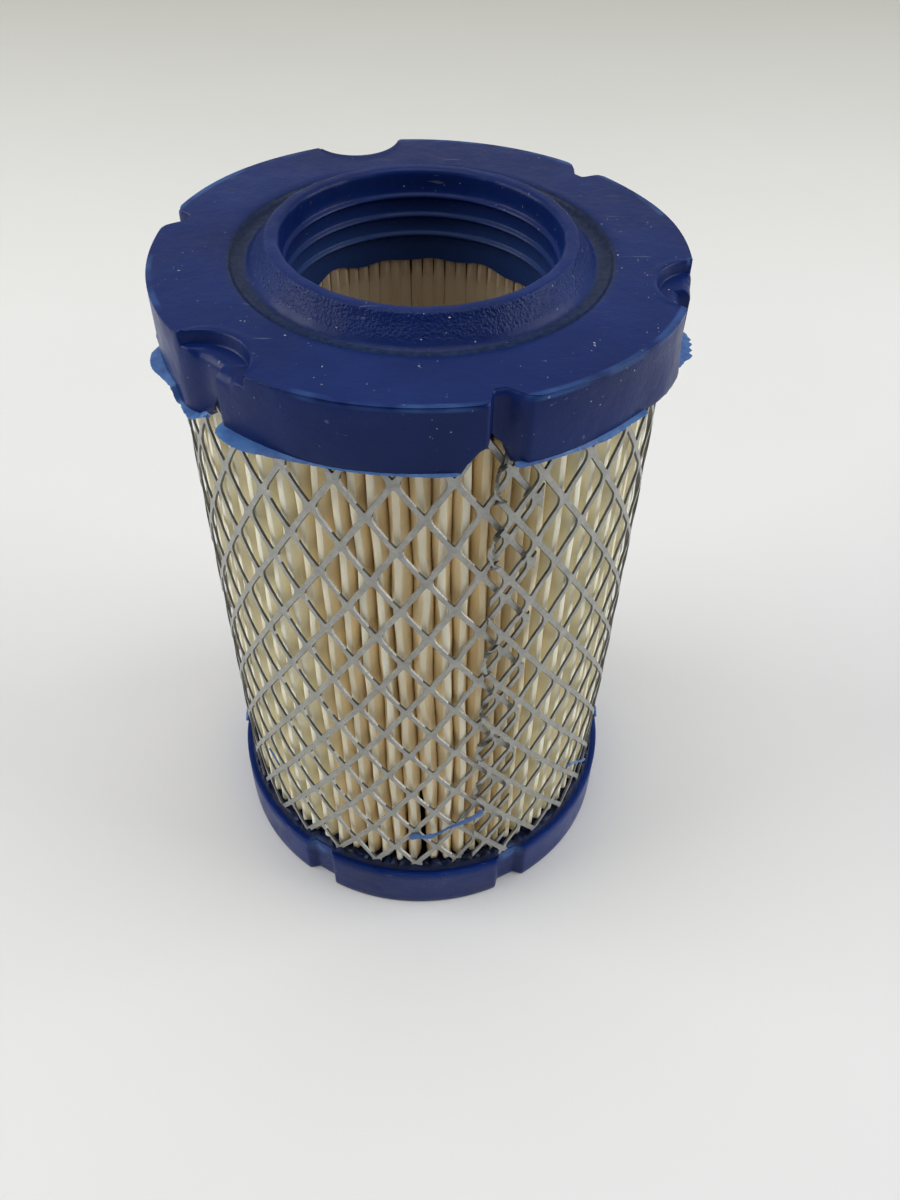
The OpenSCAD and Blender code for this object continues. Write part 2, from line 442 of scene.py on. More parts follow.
def filter_paper():
    """Matte resin-treated paper: cream folds, painted shade that browns the depths and the front
    valleys, fibres and faint creases.
    """
    m, tree, shader = new_material("filter_paper")
    sockets = measures(tree)
    # Painted shade: darker and browner deeper in the pleats
    deep = ramp(tree, zone(tree, sockets, PAPER_SHADE_ZONE), PAPER_DEPTH_SHADE)
    # Painted shade in the deep valleys at the front
    front_shade = times(tree, zone(tree, sockets, FRONT_SHADE_ZONE), 0.6)
    colour = mix(tree, front_shade, deep, PAPER_VALLEY_SHADE)
    streaks = noise(tree, 420, 4, 0.6, stretch=(1.0, 1.0, 0.16))
    colour = mix(tree, 0.16, colour, ramp(tree, streaks, [(0.3, 0.55), (0.7, 1.0)]), "MULTIPLY")
    fibres = noise(tree, 2400, 3, 0.65)
    colour = mix(tree, 0.10, colour, ramp(tree, fibres, [(0.3, 0.5), (0.7, 1.0)]), "MULTIPLY")
    paint(tree, shader, colour, 0.75, 0.35)
    first = bump(tree, shader, fibres, 0.00006, 0.5)
    bump(tree, shader, streaks, 0.00035, 0.4, first)
    return m


def sheet_metal(name, light, dark, rough_low, rough_high, metallic):
    """Dull zinc-coated sheet: spangle, rolling marks and a little grime."""
    m, tree, shader = new_material(name)
    spangle = noise(tree, 330, 4, 0.6)
    colour = ramp(tree, spangle, [(0.3, dark), (0.7, light)])
    grime = noise(tree, 1500, 3, 0.6)
    colour = mix(tree, 0.3, colour, ramp(tree, grime, [(0.35, 0.45), (0.6, 1.0)]), "MULTIPLY")
    paint(tree, shader, colour, (900, 3, rough_low, rough_high))
    shader.inputs["Metallic"].default_value = metallic
    bump(tree, shader, grime, 0.00005, 0.5)
    return m


def seam_glue():
    """Amber hot-melt with a wavy skin."""
    m, tree, shader = new_material("seam_adhesive")
    cloud = noise(tree, 300, 3)
    colour = ramp(tree, cloud, [(0.3, (0.30, 0.17, 0.05)), (0.7, (0.50, 0.33, 0.13))])
    paint(tree, shader, colour, 0.35)
    bump(tree, shader, cloud, 0.0004, 0.5)
    return m


CAP_BLUE = moulded_blue("moulded_cap")
# Painted light: the base's blue is a 1.35 times lighter copy of the cap's
BASE_BLUE_PAINTED_LIGHT = moulded_blue("moulded_base_painted_light", 1.35)
FLASH = flash_blue()
PAPER = filter_paper()
ZINC = sheet_metal("expanded_metal", (0.44, 0.44, 0.41), (0.32, 0.32, 0.296), 0.38, 0.55, 0.5)
# Darker bare steel on cut edges, and painted shade: edges turned away from the light are painted dark
CUT_DARK_AND_SHADE = sheet_metal("cut_edge_dark_and_shade", (0.19, 0.185, 0.16), (0.08, 0.078, 0.066), 0.35, 0.5, 0.3)
# Painted glint: near-white cut edges where the light catches them
CUT_GLINT = sheet_metal("cut_edge_painted_glint", (0.98, 0.98, 0.96), (0.75, 0.75, 0.73), 0.22, 0.35, 0.3)
# Painted shadow: near-black for the lumps at the lap
LAP_SHADE = sheet_metal("lap_painted_shadow", (0.035, 0.033, 0.028), (0.012, 0.012, 0.010), 0.5, 0.7, 0.1)
GLUE = seam_glue()

# ---- mould notches

# Bearings of the open cap's deep and shallow notches and of the closed cap's notches
DEEP_AZ = (-44, 76, 196)
SHALLOW_AZ = (16, 136, 256)
BASE_NOTCH_AZ = (-33, 27, 147, 207)
POCKET_ROUND = 7.7
POCKET_CENTRE_R = 43.4
POCKET_DEPTH = 1.8
WALL_IN, WALL_OUT = 0.35, 0.45
MOAT_R = 29.5
THROAT_LOW_Z = 116.3
GROOVE_R = SCREEN_R + 0.05
DEEPER = 1.0
# Stretches of the open cap's side, as for plateau: where it hangs down and where it flares
HUNG = (-57.5, -52.5, 3.0, 5.5)
FLARED = (60, 73, 14, 5)


def groove_share(az):
    """How far each bearing is inside a side groove of the open cap, from 0 to 1."""
    share = np.zeros_like(az)
    for c in DEEP_AZ:
        share = np.maximum(share, plateau(az, c - 2.6, c + 1.3, 9.0, 1.0))
    for c in SHALLOW_AZ:
        share = np.maximum(share, plateau(az, c - 2.0, c - 0.2, 2.2, 4.6))
    return share


def near_notches(az, centres, half, shoulder):
    """1 near the given notches and 0 away from them."""
    return sum(plateau(az, c - half, c + half, shoulder, shoulder) for c in centres)


def pocket_radius(az):
    """The inner radius of the pockets, which is past the cap's edge away from them."""
    r = np.full_like(az, CAP_R + 2.0)
    for c in DEEP_AZ:
        d = np.radians(turn(az - c))
        reach = POCKET_ROUND**2 - (POCKET_CENTRE_R * np.sin(d)) ** 2
        inside = (np.abs(d) < 0.3) & (reach > 0)
        rounded = POCKET_CENTRE_R * np.cos(d) - np.sqrt(np.where(inside, reach, 0))
        r = np.where(inside, np.minimum(r, rounded), r)
    return r


def window_height(az):
    """How far the open cap's lower edge is raised over an arched window."""
    height = np.zeros_like(az)
    windows = [(c + 1.5, 5.2, 0.9) for c in DEEP_AZ] + [(c - 3.0, 5.8, 4.6) for c in SHALLOW_AZ]
    for top, before, after in windows:
        d = turn(az - top)
        d = np.where(d < 0, -d / before, d / after)
        arch = np.clip(1 - d**1.2, 0, 1) ** 0.8 * 4.7
        height = np.maximum(height, np.where(d < 1, arch, 0))
    return height


def hanging(az):
    """How far the open cap's lower edge hangs down beside the left pocket."""
    return 2.1 * plateau(az, *HUNG)


def fine_bearings(count_plain, features, step_fine):
    """Bearings round the circle, with finer steps inside (middle, half width) features."""
    step = 360.0 / count_plain
    found, az = [], -180.0
    while az < 180.0 - 1e-6:
        found.append(az)
        near = any(abs(turn(az - c)) < half for c, half in features)
        az += step_fine if near else step
    return np.array(found)


def arc_points(centre_r, centre_z, radius, start, stop, count):
    """Points of a section's rounded corner; angles from the outward radius, upwards."""
    t = np.radians(np.linspace(start, stop, count))
    return [(centre_r + radius * math.cos(a), centre_z + radius * math.sin(a)) for a in t]


def rib_points(z, count=11):
    """One sealing rib's rounded section, from its top to its foot."""
    t = np.linspace(-1, 1, count)
    r = THROAT_R - (THROAT_R - RIB_R) * np.cos(t * math.pi / 2) ** 1.8
    return [(a, z - b * 0.7) for a, b in zip(r, t)]


# The section from the collar's cone to the top face: (radius, height over the top face)
CONE_AND_MOAT = ((24.1, 1.8), (24.8, 1.0), (25.5, 0.2), (26.1, -0.5), (26.45, -0.85), (26.8, -1.0),
                 (27.5, -1.05), (28.2, -1.0), (28.6, -0.8), (28.9, -0.4), (29.15, -0.12), (MOAT_R, 0))


def throat_and_collar():
    """The section that is the same all round: throat with its ribs, collar and moat, upwards."""
    ribs = [rib_points(RIM_Z - drop) for drop in RIB_DROPS]
    section = [(THROAT_R, z) for z in (THROAT_LOW_Z, 117.4, 118.4, 119.0)]
    section += [point for rib in ribs for point in rib][::-1]
    section += [(21.26, RIM_Z - 2.4), (21.27, RIM_Z - 1.6)]
    section += arc_points(22.15, RIM_Z - 0.88, 0.88, 180, 90, 7)
    section += arc_points(22.95, RIM_Z - 0.75, 0.75, 90, 25, 7)
    return np.array(section + [(r, TOP_Z + up) for r, up in CONE_AND_MOAT])


def top_face(az, edge_r):
    """Sections of the top face, whose points bunch up at the pockets' inner walls."""
    pocket_r = pocket_radius(az)[:, None]
    edge_r = edge_r[:, None]
    wall_r = np.minimum(pocket_r, edge_r)
    share = np.concatenate([np.linspace(0.12, 0.94, 8), [0.965]])
    inner_part = MOAT_R + (wall_r - WALL_IN - MOAT_R) * share
    wall = wall_r + np.linspace(-WALL_IN, WALL_OUT, 8)
    beyond = np.maximum(edge_r - (wall_r + WALL_OUT), 0.02)
    outer_part = wall_r + WALL_OUT + beyond * np.linspace(0.3, 1.0, 4)
    r = np.concatenate([inner_part, np.minimum(wall, outer_part[:, -1:]), outer_part], 1)
    depth = smooth((r - pocket_r + 0.3) / 0.75)
    lifted = 0.16 * np.exp(-((r - pocket_r + 0.9) / 0.5) ** 2)
    dish = ripple(6, 1, 5)(az)[:, None] * 0.08
    z = TOP_Z - POCKET_DEPTH * depth + lifted * (pocket_r < CAP_R + 1) + dish
    return np.stack([r, z], -1)


def open_cap():
    """The moulded open end: throat with its ribs, collar, moat, top face, grooved side."""
    features = [(c, 12.5) for c in DEEP_AZ] + [(c, 8.5) for c in SHALLOW_AZ]
    az = fine_bearings(300, features, 0.42)
    lip, low, side = ripple(1, 3, 40)(az), ripple(2, 20, 160, 24)(az), ripple(3, 2, 9)(az)
    wick = ripple(4, 3, 18, 8)(az)
    window = window_height(az)

    base = np.repeat(throat_and_collar()[None], len(az), 0)
    lip_weight = smooth((base[..., 1] - TOP_Z) / COLLAR_H)
    base[..., 0] += lip[:, None] * 0.055 * lip_weight
    base[..., 1] += ripple(5, 2, 24)(az)[:, None] * 0.05 * lip_weight
    base[:, 0, 1] += wick * 0.75
    base[:, 1, 1] += wick * 0.3

    # The top face and its rounded edge
    groove_depth = CAP_R - GROOVE_R + DEEPER * near_notches(az, SHALLOW_AZ, 6, 2)
    outer_r = CAP_R - groove_depth * groove_share(az) + side * 0.12
    corner_r = 0.5 + 1.3 * near_notches(az, DEEP_AZ, 5.5, 2.5)
    corner_r += 0.5 * near_notches(az, SHALLOW_AZ, 3.0, 3.0)
    face = top_face(az, outer_r - corner_r)
    end_z = face[:, -1, 1]
    t = np.radians(np.linspace(78, 0, 6))
    edge_r = (outer_r - corner_r)[:, None] + corner_r[:, None] * np.cos(t)
    edge = np.stack([edge_r, end_z[:, None] - corner_r[:, None] * (1 - np.sin(t))], -1)

    # The side down to the lower edge, and the ragged underside
    low_z = CAP_LOW_Z - 0.35 + low * 0.18 + window - hanging(az)
    s = np.array([0.12, 0.25, 0.4, 0.55, 0.7, 0.82, 0.91, 0.97])
    start_z = (end_z - corner_r)[:, None]
    side_z = start_z + (low_z[:, None] + 0.25 - start_z) * s
    bow = ripple(7, 2, 12)(az)[:, None] * 0.10 * np.sin(s * math.pi)
    flare = 0.7 * plateau(az, *FLARED)
    side_face = np.stack([outer_r[:, None] + bow + flare[:, None] * s**1.5, side_z], -1)
    under_z = low_z - 0.4 * (1 - smooth(window))
    level = np.zeros(len(az))
    lower = [(outer_r + flare - 0.06, low_z + 0.08), (outer_r + flare - 0.3, low_z - 0.05),
             (np.minimum(outer_r - 0.45, 39.7), low_z),
             (np.minimum(outer_r - 0.60, 39.35), low_z + 0.1),
             (np.minimum(outer_r - 0.75, 38.8), under_z + 0.25 * (window > 0)),
             (np.minimum(outer_r - 0.75, 36.0), under_z + 0.5 * (window > 0)),
             (level + 33.0, CAP_LOW_Z - 0.8 + window * 0.6),
             (level + 28.0, level + CAP_LOW_Z - 1.4),
             (level + 23.0, THROAT_LOW_Z - 0.1 + wick * 0.6)]
    lower = np.array(lower).transpose(2, 0, 1)

    profile = np.concatenate([base, face, edge, side_face, lower], 1)
    points = polar(profile[..., 0], az[:, None], profile[..., 1])
    piece = ring_piece("top_end_cap_moulding", points, CAP_BLUE)
    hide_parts("top_end_cap")


def base_share(az):
    """How far each bearing is inside a side notch of the closed cap, from 0 to 1."""
    return near_notches(az - 0.6, BASE_NOTCH_AZ, 2.6, 2.6)


def closed_cap():
    """The moulded closed end, with its side notches and potting that climbs the pleats."""
    az = fine_bearings(300, [(c, 10) for c in BASE_NOTCH_AZ], 0.45)
    side, low, high = ripple(11, 2, 9)(az), ripple(12, 15, 90, 16)(az), ripple(13, 20, 120, 20)(az)
    climb, ragged = ripple(14, 60, 180, 20)(az), ripple(16, 25, 170, 28)(az)
    level = np.zeros(len(az))
    outer_r = BASE_R - (BASE_R - GROOVE_R) * base_share(az) + side * 0.12 - 0.12
    rim_z = BASE_H - 0.12 + high * 0.10

    # Rings from the middle of the floor, over the potting, to the top of the rim
    rings = [(r, z) for r, z in ((2, 10.6), (8, 10.6), (16, 10.7), (20.5, 10.8), (22, 12.0))]
    for r, up in ((25, 1.2), (29, 1.1), (33, 1.0), (36, 1.3), (37.6, 1.6)):
        rings.append((r, BASE_H + up + climb * 0.3))
    for r, inside, up in ((38.2, 0.75, 2.1), (38.75, 0.6, 2.0), (SCREEN_R - 0.05, 0.47, 1.7)):
        rings.append((np.minimum(r, outer_r - inside), BASE_H + up + climb * 0.35 + ragged * 0.45))
    rings.append((np.minimum(SCREEN_R + 0.22, outer_r - 0.34), rim_z + 1.05 + ragged * 0.40))
    inner_r = np.minimum(SCREEN_R + 0.55, outer_r - 0.22)
    rings.append((inner_r, rim_z - 0.10))
    rings.append(((inner_r + outer_r) / 2, rim_z + high * 0.08))

    # Rings down the side, round the lower corner and under the floor
    for a in np.radians([70, 45, 15]):
        rings.append((outer_r - 0.3 + 0.3 * math.cos(a), rim_z - 0.3 + 0.3 * math.sin(a)))
    bow = ripple(15, 2, 12)(az) * 0.10
    for s in (0.15, 0.35, 0.55, 0.75, 0.9):
        rings.append((outer_r + bow * math.sin(s * math.pi), (rim_z - 0.3) * (1 - s) + 0.7 * s))
    for a in np.radians([-15, -45, -75]):
        rings.append((outer_r - 0.6 + 0.6 * math.cos(a), 0.6 + 0.6 * math.sin(a)))
    under = 0.03 + 0.01 * low
    for r, z in ((38, 0.0), (30, 0.03), (24, 0.06), (23.2, 0.35), (22.4, 0.42), (14, 0.42), (2, 0.42)):
        rings.append((r, z + under))
    r = np.stack([a + level for a, _ in rings], 1)
    z = np.stack([b + level for _, b in rings], 1)
    piece = disc_piece("bottom_end_cap_moulding", polar(r, az[:, None], z), BASE_BLUE_PAINTED_LIGHT)
    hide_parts("bottom_end_cap")


# ---- paper

FRONT_FOLDS = (-32.3, -27.6, -22.7, -17.7, -13.3, -8.6, -4.3, 1.3, 6.5, 10.8,
               15.3, 19.6, 23.8, 28.0, 32.3, 37.5, 41.8)
PACK_LOW_Z, PACK_HIGH_Z = 9.0, 119.0
CRISP_FOLDS = (41, 43, 45)
# A valley closes as it deepens: (depth below the tips, share of the gap at the tips)
GAP_SHARES = ((0.35, 0.80), (0.8, 0.50), (1.3, 0.22), (2.1, 0.0))
# An outer fold's section: (across, depth below its tip)
TIP = ((-0.44, 0.36), (-0.38, 0.10), (0.0, 0.0), (0.38, 0.10), (0.44, 0.36))


def fold_bearings():
    """The outer folds' bearings half way up: uneven in front, evenly spread behind."""
    rest = PLEATS - len(FRONT_FOLDS)
    start, stop = FRONT_FOLDS[-1], FRONT_FOLDS[0] + 360
    step = (stop - start) / (rest + 1)
    rng = np.random.default_rng(SEED + 20)
    others = start + step * np.arange(1, rest + 1) + rng.uniform(-0.35, 0.35, rest)
    return np.concatenate([FRONT_FOLDS, others])


def fold_paths(z):
    """Bearings of every outer fold and of every inner fold after it, at heights z."""
    rng = np.random.default_rng(SEED + 21)
    folds = fold_bearings()
    middle = np.exp(-((turn(folds) / 26.0) ** 2))
    lean = -0.037 * middle[:, None] * (z - 58.0)
    wave = np.zeros((PLEATS, len(z)))
    for length, size in ((80.0, 0.42), (37.0, 0.26), (17.0, 0.14)):
        phase = rng.uniform(0, 2 * math.pi, (PLEATS, 1))
        wave += size * np.sin(2 * math.pi * z / length + phase)
    loose = 0.75 + 0.9 * np.exp(-(((turn(folds) - 2) / 5.0) ** 2))
    outer = folds[:, None] + lean + wave * loose[:, None]
    after = np.concatenate([folds[1:], [folds[0] + 360]])
    inner = ((folds + after) / 2)[:, None] + 0.4 * lean + rng.uniform(-0.3, 0.3, (PLEATS, 1))
    return outer, inner + 0 * z


def paper():
    """One strip of paper folded into pleats, with creased folds and bulging flanks."""
    z = np.concatenate([np.linspace(PACK_LOW_Z, 107.5, 31), np.linspace(109.5, PACK_HIGH_Z, 12)])
    outer, inner = fold_paths(z)
    folds = fold_bearings()
    rng = np.random.default_rng(SEED + 22)
    tip_r = FOLD_R - 0.28 - rng.uniform(0, 0.45, (PLEATS, 1)) + 0.12 * np.sin(
        z / 9.0 + rng.uniform(0, 6.3, (PLEATS, 1)))
    tip_r = tip_r - 0.55 * plateau(folds, LAP_START, LAP_STOP, 4, 4)[:, None]
    puff = np.exp(-(((z - 115.0) / 2.1) ** 4))
    low_half = 0.79 - 0.12 * puff
    low_r = 22.05 + rng.uniform(-0.03, 0.03, (PLEATS, 1)) - 0.42 * puff
    crisp = np.isin(np.arange(PLEATS), CRISP_FOLDS)
    ridge = 0.5 * crisp[:, None] * smooth((114.5 - z) / 2.0)
    low_r = low_r - ridge
    tip_half, tip_depth = TIP[-1]
    path = []
    for k in range(PLEATS):
        n = (k + 1) % PLEATS
        after = outer[n] + (360 if n == 0 else 0)
        for across, depth in TIP:
            r = tip_r[k] - depth
            path.append((r, outer[k] + np.degrees(across / r)))
        start_r = np.minimum(tip_r[k], tip_r[n]) - tip_depth
        middle = (outer[k] + after) / 2
        fold_gap = np.radians((after - outer[k]) / 2) * start_r - tip_half
        spot = turn(folds[k] + 2.4)
        loose = 0.75 * np.exp(-(((spot + 3.4) / 2.2) ** 2)) * smooth((38 - z) / 8)
        floor_gap = 0.22 + rng.uniform(0, 0.05) + loose
        reach = rng.uniform(0.8, 1.25)
        walls = []
        for depth, share in GAP_SHARES:
            gap = fold_gap * share + floor_gap * (1 - share)
            crinkle = 0.07 * np.sin(z / 4.3 + depth + 2.0 * k)
            walls.append((start_r - depth * reach, gap, crinkle))
        for r, gap, crinkle in walls:
            path.append((r, middle - np.degrees((gap + crinkle) / r)))
        for across in (-1, 0, 1):
            r = low_r[k] + abs(across) * (0.07 + 0.28 * puff + ridge[k])
            path.append((r, inner[k] + np.degrees(across * low_half / r)))
        for r, gap, crinkle in reversed(walls):
            path.append((r, middle + np.degrees((gap - crinkle) / r)))
    r = np.stack([a for a, _ in path])
    az = np.stack([b for _, b in path])
    middle = polar(r, az, z)
    along = np.roll(middle, -1, 0) - np.roll(middle, 1, 0)
    across = np.stack([along[..., 1], -along[..., 0], 0 * along[..., 0]], -1)
    across /= np.linalg.norm(across, axis=-1, keepdims=True)
    top = middle + across * PAPER_T / 2
    bottom = middle - across * PAPER_T / 2
    piece = slab("pleated_paper_folds", top, bottom, PAPER, wrap=True)
    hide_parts("pleated_paper")


def paper_seam():
    """A bead of adhesive in the bottom of the pleat that joins the paper's ends."""
    z = np.linspace(BASE_H + 1.5, CAP_LOW_Z - 2.0, 60)
    inner = fold_paths(z)[1]
    middle = inner[int(np.argmin(np.abs(turn((fold_bearings() + 2.55) - 180))))]
    wave = 0.05 * np.sin(z / 5.0) + 0.03 * np.sin(z / 1.7)
    sections = [(r + wave, h) for r, h in ((22.6, 0.30), (24.5, 0.18), (27.0, 0.10), (29.0, 0.06))]
    tops = [polar(r, middle + np.degrees(h / r), z) for r, h in sections]
    lows = [polar(r, middle - np.degrees(h / r), z) for r, h in sections]
    piece = slab("paper_seam_bead", np.stack(tops), np.stack(lows), GLUE)
    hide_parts("paper_seam")


# ---- expanded metal

# The flat sheet: half an opening's spacing, its strands, where it starts, how it runs
DEG_PER_STEP = 6.198
HALF_W = math.radians(DEG_PER_STEP) * SCREEN_R
HALF_H = 6.33
STRAND_W = 0.88
KNUCKLE_W = 1.95
SIDE_CUT, TOP_CUT = 0.5, 0.4
ORIGIN_AZ, ORIGIN_Z = 25.73, 101.4
RISE = 0.0317
LEAN = -0.0287
ROLL_DRIFT = 0.44
SCREEN_LOW_Z, SCREEN_HIGH_Z = 9.5, 122.7
LAP_START, LAP_STOP = 15.4, 26.7
TWIST = 0.06
TOP_ROLL, BURR = 0.03, 0.09


def quarter_opening():
    """A quarter of an opening's outline, from its right middle to just before its top."""
    full = math.hypot(HALF_W, HALF_H)
    shrink = 1 - STRAND_W / 2 * full / (HALF_W * HALF_H)
    w, h = HALF_W * shrink, HALF_H * shrink
    flat = HALF_W - KNUCKLE_W / 2
    side = np.array([flat, h * (1 - flat / w)])
    top = np.array([0.0, h])
    slope = (top - side) / np.linalg.norm(top - side)
    start = side - (0, SIDE_CUT)
    bend = side + slope * SIDE_CUT * 1.3
    end = top - slope * TOP_CUT
    mirror = end * (-1, 1)
    return [
        np.array([flat, 0.0]), start, (start + 2 * side + bend) / 4, bend,
        bend + (end - bend) / 3, bend + (end - bend) * 2 / 3, end,
        0.5625 * end + 0.375 * top + 0.0625 * mirror,
        (end + 2 * top + mirror) / 4,
    ]


def opening_and_cell():
    """An opening's outline and the matching points of its diamond cell, anticlockwise."""
    quarter = quarter_opening()
    count = len(quarter) - 1
    hole, cell = [], []
    for k, sign in enumerate([(1, 1), (-1, 1), (-1, -1), (1, -1)]):
        for i in range(count) if k % 2 == 0 else range(count, 0, -1):
            hole.append(quarter[i] * sign)
            s = i / count
            cell.append(np.array([HALF_W * (1 - s), HALF_H * s]) * sign)
    return np.array(hole), np.array(cell)


def flat_lattice():
    """The expanded sheet before it is cut and rolled: welded points and faces."""
    hole, cell = opening_and_cell()
    count = len(hole)
    i_low = int((LAP_START - 12 - ORIGIN_AZ) / DEG_PER_STEP) - 1
    i_high = int((LAP_STOP + 372 - ORIGIN_AZ) / DEG_PER_STEP) + 2
    points, faces = [], []
    for i in range(i_low, i_high):
        for j in range(-19, 6):
            if (i + j) % 2 == 0:
                continue
            first = len(points)
            middle = np.array([i * HALF_W, j * HALF_H])
            points += list(hole + middle) + list(cell + middle)
            for k in range(count):
                n = (k + 1) % count
                faces.append([first + k, first + n, first + count + n, first + count + k])
    welded, at = np.unique(np.round(points, 4) + 0.0, axis=0, return_inverse=True)
    return welded, at.ravel()[np.array(faces)].tolist()


def cut_sheet(flat, faces):
    """Cuts the flat lattice at the sheet's four edges; gives points, faces and borders."""
    bm = bmesh.new()
    verts = [bm.verts.new((a, b, 0)) for a, b in flat]
    for f in faces:
        bm.faces.new([verts[i] for i in f])
    left = math.radians(LAP_START) * SCREEN_R
    right = math.radians(LAP_STOP + 360) * SCREEN_R
    cuts = (((left, 0, 0), (-1, 0, 0)), ((right, 0, 0), (1, 0, 0)),
            ((0, SCREEN_LOW_Z, 0), (0, -1, 0)), ((0, SCREEN_HIGH_Z, 0), (0, 1, 0)))
    for through, direction in cuts:
        everything = bm.verts[:] + bm.edges[:] + bm.faces[:]
        bmesh.ops.bisect_plane(bm, geom=everything, plane_co=through, plane_no=direction,
                               clear_outer=True, dist=1e-5)
    bmesh.ops.remove_doubles(bm, verts=bm.verts, dist=2e-3)
    bmesh.ops.recalc_face_normals(bm, faces=bm.faces)
    bm.verts.index_update()
    flip = bm.faces[:][0].normal.z < 0
    points = np.array([v.co[:2] for v in bm.verts])
    kept = [[v.index for v in f.verts][:: -1 if flip else 1] for f in bm.faces]
    borders = []
    for e in bm.edges:
        if len(e.link_faces) == 1:
            loop = e.link_loops[0]
            ends = (loop.vert.index, loop.link_loop_next.vert.index)
            borders.append(ends[::-1] if flip else ends)
    bm.free()
    return points, kept, borders


def sheet_radius(u, v, across):
    """The radius of the sheet's middle: twisted strands, slight dents and the lap."""
    twist = -TWIST * np.sin(2 * math.pi * across)
    rng = np.random.default_rng(SEED + 30)
    dent = np.zeros(len(u))
    for _ in range(14):
        turns, rise, phase = rng.integers(1, 9), rng.uniform(0.02, 0.16), rng.uniform(0, 6.3)
        dent += rng.uniform(0.015, 0.04) * np.sin(turns * u / SCREEN_R + rise * v + phase)
    az = np.degrees(u / SCREEN_R)
    under = smooth((az - (LAP_START + 360 - 9)) / 7.0)
    over = smooth((LAP_STOP + 3.0 - az) / 6.0)
    middle = SCREEN_R - SHEET_T / 2 - 0.24 + dent + twist - 0.50 * under + 0.26 * over
    potted = smooth((v - 117.3) / 1.5)
    squeezed = 1.1 * near_notches(az, SHALLOW_AZ, 5.5, 2.0)
    return middle * (1 - potted) + (SCREEN_R - 0.30 - 0.3 * under - squeezed) * potted


def burr_offsets(flat, borders):
    """Unit directions, in the sheet, that point out of its cut edges; zero elsewhere."""
    out = np.zeros_like(flat)
    for a, b in borders:
        d = (flat[b] - flat[a]) / (np.linalg.norm(flat[b] - flat[a]) + 1e-9)
        out[[a, b]] += (d[1], -d[0])
    out /= np.maximum(np.linalg.norm(out, axis=1, keepdims=True), 1e-9)
    return out[:, 0], out[:, 1]


def sheet_lean(x):
    """How far the rows of openings lean at x along the flat sheet: not at all in front."""
    return LEAN * smooth((x / HALF_W * DEG_PER_STEP + ORIGIN_AZ - 45) / 230)


def edge_look(bearing, facing, phase):
    """What the light does to a sheared edge: 0 for nothing, 1 for dark, 2 for bright."""
    if bearing > 13:
        return 1 if facing < -0.25 else 0
    if facing < 0.25:
        return 0
    upper_end = phase > (0.36 if bearing > -24 else 0.66)
    return 2 if upper_end and bearing > -40 else 1


def screen():
    """Cuts the lattice to the sheet's outline, thickens it and rolls it round the paper."""
    flat, faces = flat_lattice()
    x, y = flat[:, 0], flat[:, 1]
    origin_u = math.radians(ORIGIN_AZ) * SCREEN_R
    u = origin_u + x + sheet_lean(x) * y
    v = ORIGIN_Z + y + RISE * x
    flat, upper, borders = cut_sheet(np.stack([u, v], 1), faces)
    count = len(flat)
    u, v = flat[:, 0], flat[:, 1]
    x = u - origin_u
    across = (x - sheet_lean(x) * (v - ORIGIN_Z)) / HALF_W
    middle_r = sheet_radius(u, v, across)
    az = np.degrees(u / SCREEN_R)
    az = az - ROLL_DRIFT * np.sin(np.radians(az))
    az = az + 0.10 * np.sin(v / 17 + 1) + 0.07 * np.sin(v / 5.0 + u / 11)
    du, dv = burr_offsets(flat, borders)
    top = polar(middle_r + SHEET_T / 2, az - np.degrees(du * TOP_ROLL / SCREEN_R), v - dv * TOP_ROLL)
    bottom = polar(middle_r - SHEET_T / 2, az + np.degrees(du * BURR / SCREEN_R), v + dv * BURR)
    lower = [[i + count for i in reversed(f)] for f in upper]
    walls, marks = [], [0] * (2 * len(upper))
    for a, b in borders:
        walls.append([b, a, a + count, b + count])
        d = flat[b] - flat[a]
        facing = d[1] / (np.linalg.norm(d) + 1e-9)
        bearing = float(turn(math.degrees(u[a] / SCREEN_R)))
        rise = v[a] - ORIGIN_Z - RISE * x[a]
        marks.append(edge_look(bearing, facing, (rise / HALF_H) % 1.0))
    piece = mesh_object("outer_screen_sheet", np.concatenate([top, bottom]),
                        upper + lower + walls, [ZINC, CUT_DARK_AND_SHADE, CUT_GLINT], marks, 35)
    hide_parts("outer_screen")


CRIMP_AZ = 16.1
CRIMPS = [(114.2, 1.0), (101.4, 1.0), (76.3, 0.8), (63.6, 0.5), (51.6, 0.85), (38.5, 0.6)]
CRIMP_SECTION = [(-1, -0.2), (-0.9, 0.2), (0, 0.28), (0.9, 0.2), (1, -0.2), (0, -0.28)]


